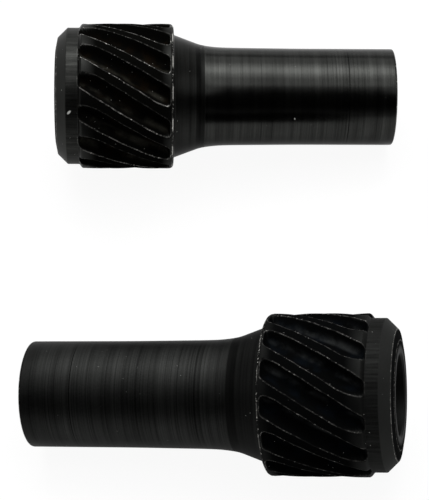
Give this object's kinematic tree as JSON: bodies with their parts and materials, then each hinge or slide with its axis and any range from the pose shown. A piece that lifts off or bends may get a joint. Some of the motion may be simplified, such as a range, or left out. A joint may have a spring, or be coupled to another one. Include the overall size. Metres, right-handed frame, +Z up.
{
  "type": "helical pinion pair",
  "caption": "Two matching hollow helical pinions, each with a plain collar, a tapered neck and a long plain shank.",
  "frame": {"origin": "centre of the pair on the floor plane, midway between the two pinions", "axes": "+X to the right along the pinions, +Y to the rear, +Z up from the floor"},
  "size_m": [0.0438, 0.062, 0.0189],
  "materials": {
    "blackened_steel_rear": "black oxide on turned steel, satin",
    "blackened_steel_front": "black oxide on turned steel, satin"
  },
  "bodies": {
    "rear": {"rear_pinion": "blackened_steel_rear"},
    "front": {"front_pinion": "blackened_steel_front"}
  },
  "joints": [
    {"name": "front_pinion_spin", "type": "hinge", "parent": "rear", "child": "front", "pos_m": [0.00032, -0.02084, 0.00816], "axis": [0.992, -0.0676, 0.1065], "continuous": true}
  ]
}
